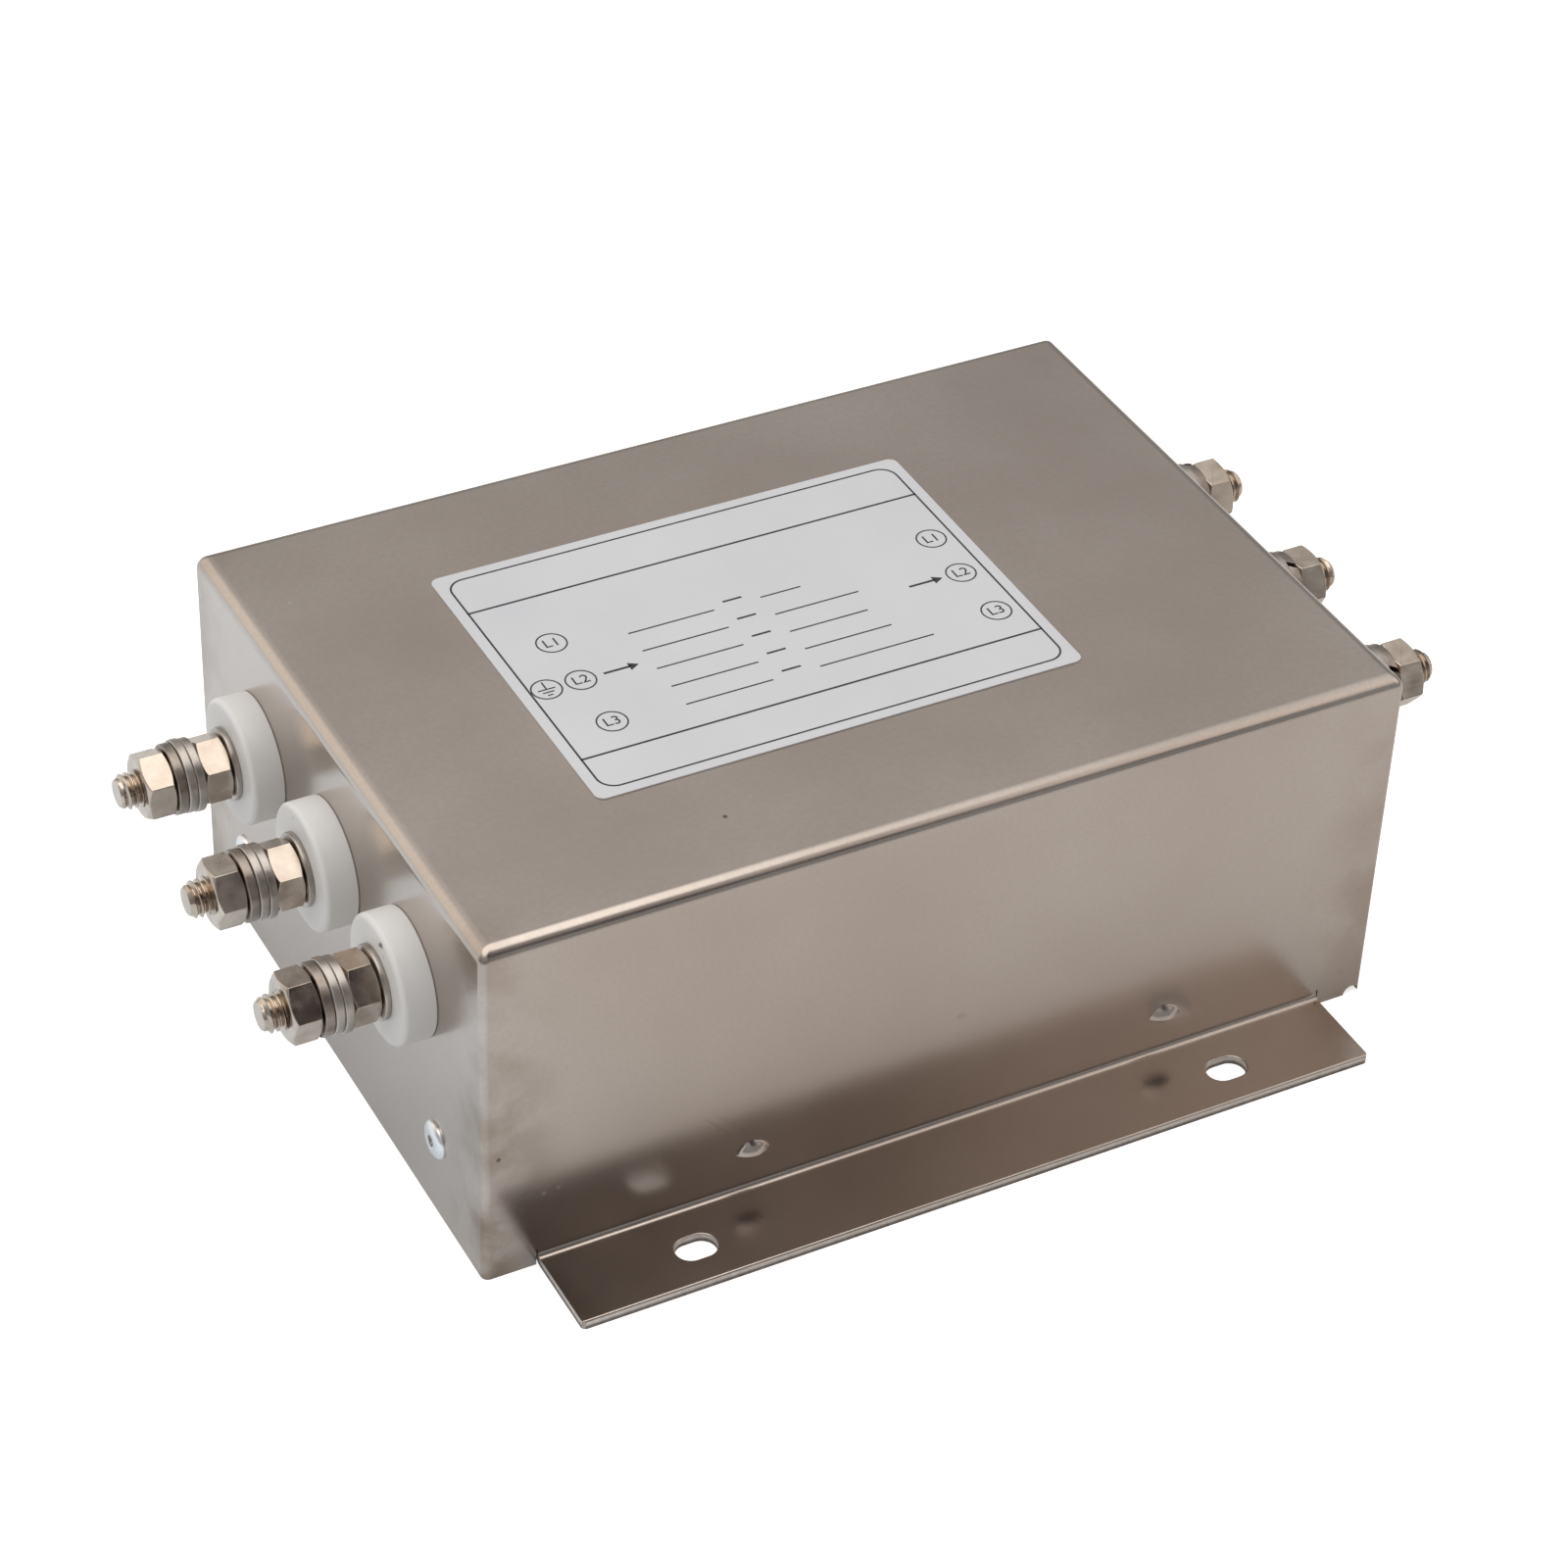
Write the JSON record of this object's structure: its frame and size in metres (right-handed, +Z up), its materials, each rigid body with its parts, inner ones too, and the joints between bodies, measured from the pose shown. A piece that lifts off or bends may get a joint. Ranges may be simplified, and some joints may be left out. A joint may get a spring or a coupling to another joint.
{
  "type": "line filter",
  "caption": "Three-phase line filter: folded metal box with slotted flanges on both long sides and insulated screw studs on both ends.",
  "frame": {"origin": "Middle of the mounting face, under the centre of the box.", "axes": "+X along the box towards the right-hand studs, +Y towards the rear flange, +Z up from the mounting face to the label."},
  "size_m": [0.2062, 0.1414, 0.0642],
  "materials": {
    "nickel_sheet": "satin nickel plate",
    "cover_sheet": "zinc plate",
    "rivet_metal": "bright",
    "mandrel_steel": "bright",
    "label_film": "satin film",
    "white_insulator": "smooth moulded",
    "nickel_hardware": "nickel plate",
    "tinned_lug": "tin plate",
    "board_laminate": "solder mask",
    "dark_plastic": "moulded",
    "core_material": "sintered",
    "copper_winding": "enamelled wire",
    "film_cap_case": "moulded",
    "earth_cap_case": "moulded",
    "resistor_body": "lacquered",
    "lead_sleeve": "extruded"
  },
  "bodies": {
    "root": {"housing_shell": "nickel_sheet", "bottom_cover": "cover_sheet", "blind_rivets": "rivet_metal", "rivet_mandrels": "mandrel_steel", "rating_label": "label_film", "terminal_insulators": "white_insulator", "inner_insulators": "white_insulator", "terminal_studs": "nickel_hardware", "seat_washers": "nickel_hardware", "seat_nuts": "nickel_hardware", "flat_washers": "nickel_hardware", "spring_washers": "nickel_hardware", "clamp_nuts": "nickel_hardware", "inside_washers": "nickel_hardware", "wire_lugs": "tinned_lug", "inside_nuts": "nickel_hardware", "circuit_board": "board_laminate", "board_standoffs": "nickel_hardware", "board_screws": "nickel_hardware", "choke_base": "dark_plastic", "core_case_tray": "dark_plastic", "core_case_lid": "dark_plastic", "choke_core": "core_material", "choke_clamp_disc": "dark_plastic", "choke_bolt": "nickel_hardware", "choke_nut": "nickel_hardware", "phase_separator": "white_insulator", "choke_winding_1": "copper_winding", "choke_winding_2": "copper_winding", "choke_winding_3": "copper_winding", "film_capacitors": "film_cap_case", "earth_capacitors": "earth_cap_case", "bleed_resistors": "resistor_body", "input_leads": "lead_sleeve", "output_leads": "lead_sleeve"}
  },
  "joints": []
}
